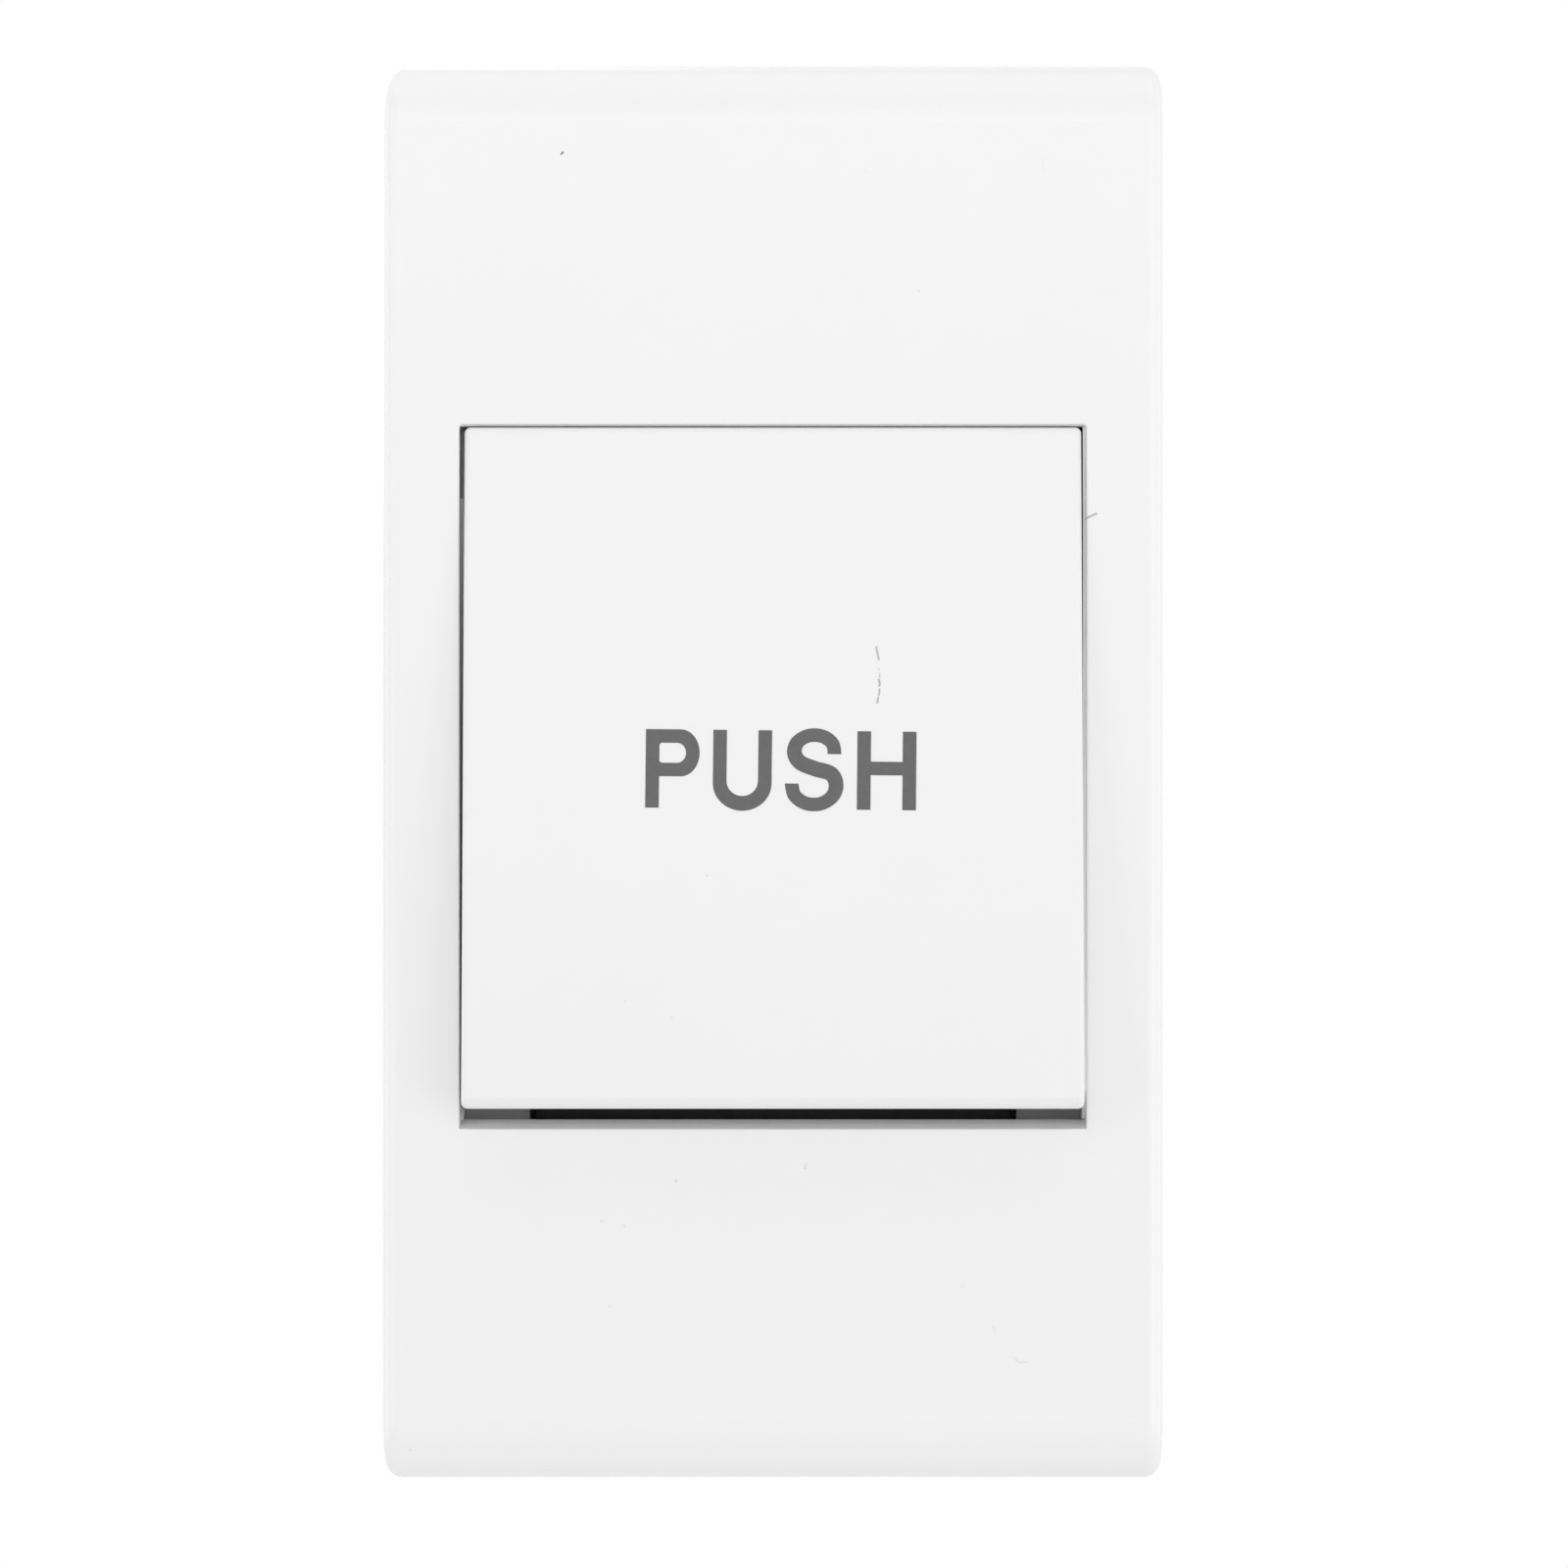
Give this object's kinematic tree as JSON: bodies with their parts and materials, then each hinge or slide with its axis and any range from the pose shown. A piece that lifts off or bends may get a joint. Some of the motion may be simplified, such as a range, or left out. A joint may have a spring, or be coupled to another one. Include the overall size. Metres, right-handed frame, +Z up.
{
  "type": "exit push button",
  "caption": "White wall-mounted exit button: a rectangular faceplate with rounded ends and a large hinged key that presses a sprung switch behind it.",
  "frame": {"origin": "centre of the plate on the wall plane, at the back face of the mounting base", "axes": "+Z up, +X to the right seen from the front, +Y into the wall, so the key faces -Y"},
  "size_m": [0.05, 0.0197, 0.0912],
  "materials": {
    "plate_white": "white moulded plastic with a soft gloss",
    "key_white": "white moulded plastic with a soft gloss",
    "base_white": "white moulded plastic, satin",
    "block_black": "black insulating plastic, satin",
    "plunger_nylon": "natural nylon, satin",
    "strip_brass": "stamped brass",
    "contact_silver": "silver contact alloy",
    "clamp_steel": "zinc-plated steel",
    "spring_steel": "drawn spring steel",
    "screw_steel": "nickel-plated steel"
  },
  "bodies": {
    "case": {"faceplate": "plate_white", "mounting_base": "base_white", "switch_block": "block_black", "block_cover": "block_black", "terminal_left": "strip_brass", "terminal_right": "strip_brass", "fixed_contact_left": "contact_silver", "fixed_contact_right": "contact_silver", "wire_clamp_left": "clamp_steel", "wire_clamp_right": "clamp_steel", "terminal_screws": "screw_steel", "block_screws": "screw_steel", "cover_screws": "screw_steel", "return_spring": "spring_steel"},
    "key": {"push_key": "key_white"},
    "plunger": {"plunger": "plunger_nylon", "contact_bridge": "strip_brass", "moving_contact_left": "contact_silver", "moving_contact_right": "contact_silver", "contact_spring": "spring_steel", "retaining_clip": "spring_steel"}
  },
  "joints": [
    {"name": "key_pivot", "type": "hinge", "parent": "case", "child": "key", "pos_m": [0, -0.0105, 0.018], "axis": [1, 0, 0], "range_deg": [0, 4.4], "stiffness_Nm_per_rad": 0.6, "springref_deg": -3.44},
    {"name": "plunger_slide", "type": "slide", "parent": "case", "child": "plunger", "axis": [0, 1, 0], "range_m": [0, 0.00207], "deforming": ["return_spring"]}
  ],
  "couplings": [
    {"joint": "plunger_slide", "follows": "key_pivot", "m_per_rad": 0.027}
  ]
}
